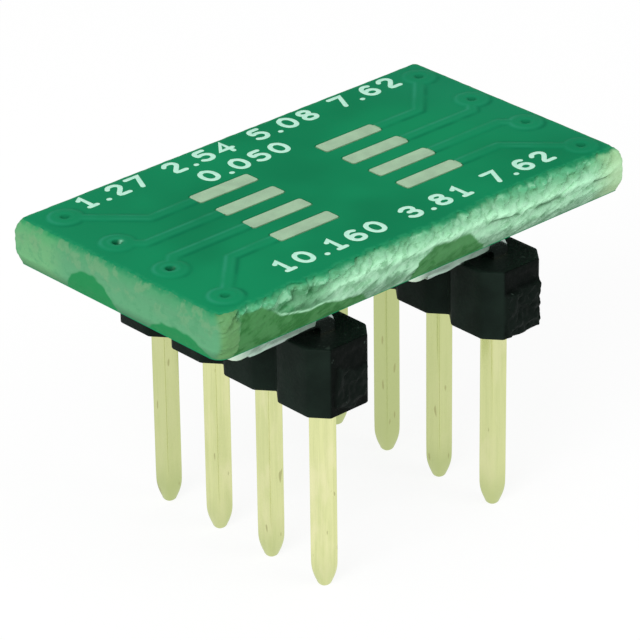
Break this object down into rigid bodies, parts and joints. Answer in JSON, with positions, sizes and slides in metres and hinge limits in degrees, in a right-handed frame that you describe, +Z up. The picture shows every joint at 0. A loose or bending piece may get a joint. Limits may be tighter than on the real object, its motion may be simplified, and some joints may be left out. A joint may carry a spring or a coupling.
{
  "type": "smd to dip adapter board",
  "caption": "Small green adapter board that turns a surface-mount chip's pads into two rows of square plug-in pins.",
  "frame": {"origin": "centre of the two pin rows' pattern, on the plane of the pin tips that the part stands on", "axes": "+X along the board's long side, across the two rows, +Y along each row away from the camera of the picture, +Z up to the chip's side"},
  "size_m": [0.0176, 0.0104, 0.0118],
  "materials": {
    "laminate": "translucent glass-fibre laminate, matt on its snapped edges",
    "solder_mask": "green liquid photo-imaged mask, satin gloss",
    "copper": "gold-flashed copper, pale and satin where bare",
    "solder": "bright reflowed solder",
    "pin_metal": "pale gold plating over drawn square wire",
    "strip_plastic": "black glass-filled moulding"
  },
  "bodies": {
    "root": {"board_core": "laminate", "top_mask": "solder_mask", "bottom_mask": "solder_mask", "pin_strip_left": "strip_plastic", "pin_strip_right": "strip_plastic", "copper_1": "copper", "pin_1": "pin_metal", "solder_1": "solder", "copper_2": "copper", "pin_2": "pin_metal", "solder_2": "solder", "copper_3": "copper", "pin_3": "pin_metal", "solder_3": "solder", "copper_4": "copper", "pin_4": "pin_metal", "solder_4": "solder", "copper_5": "copper", "pin_5": "pin_metal", "solder_5": "solder", "copper_6": "copper", "pin_6": "pin_metal", "solder_6": "solder", "copper_7": "copper", "pin_7": "pin_metal", "solder_7": "solder", "copper_8": "copper", "pin_8": "pin_metal", "solder_8": "solder"}
  },
  "joints": []
}
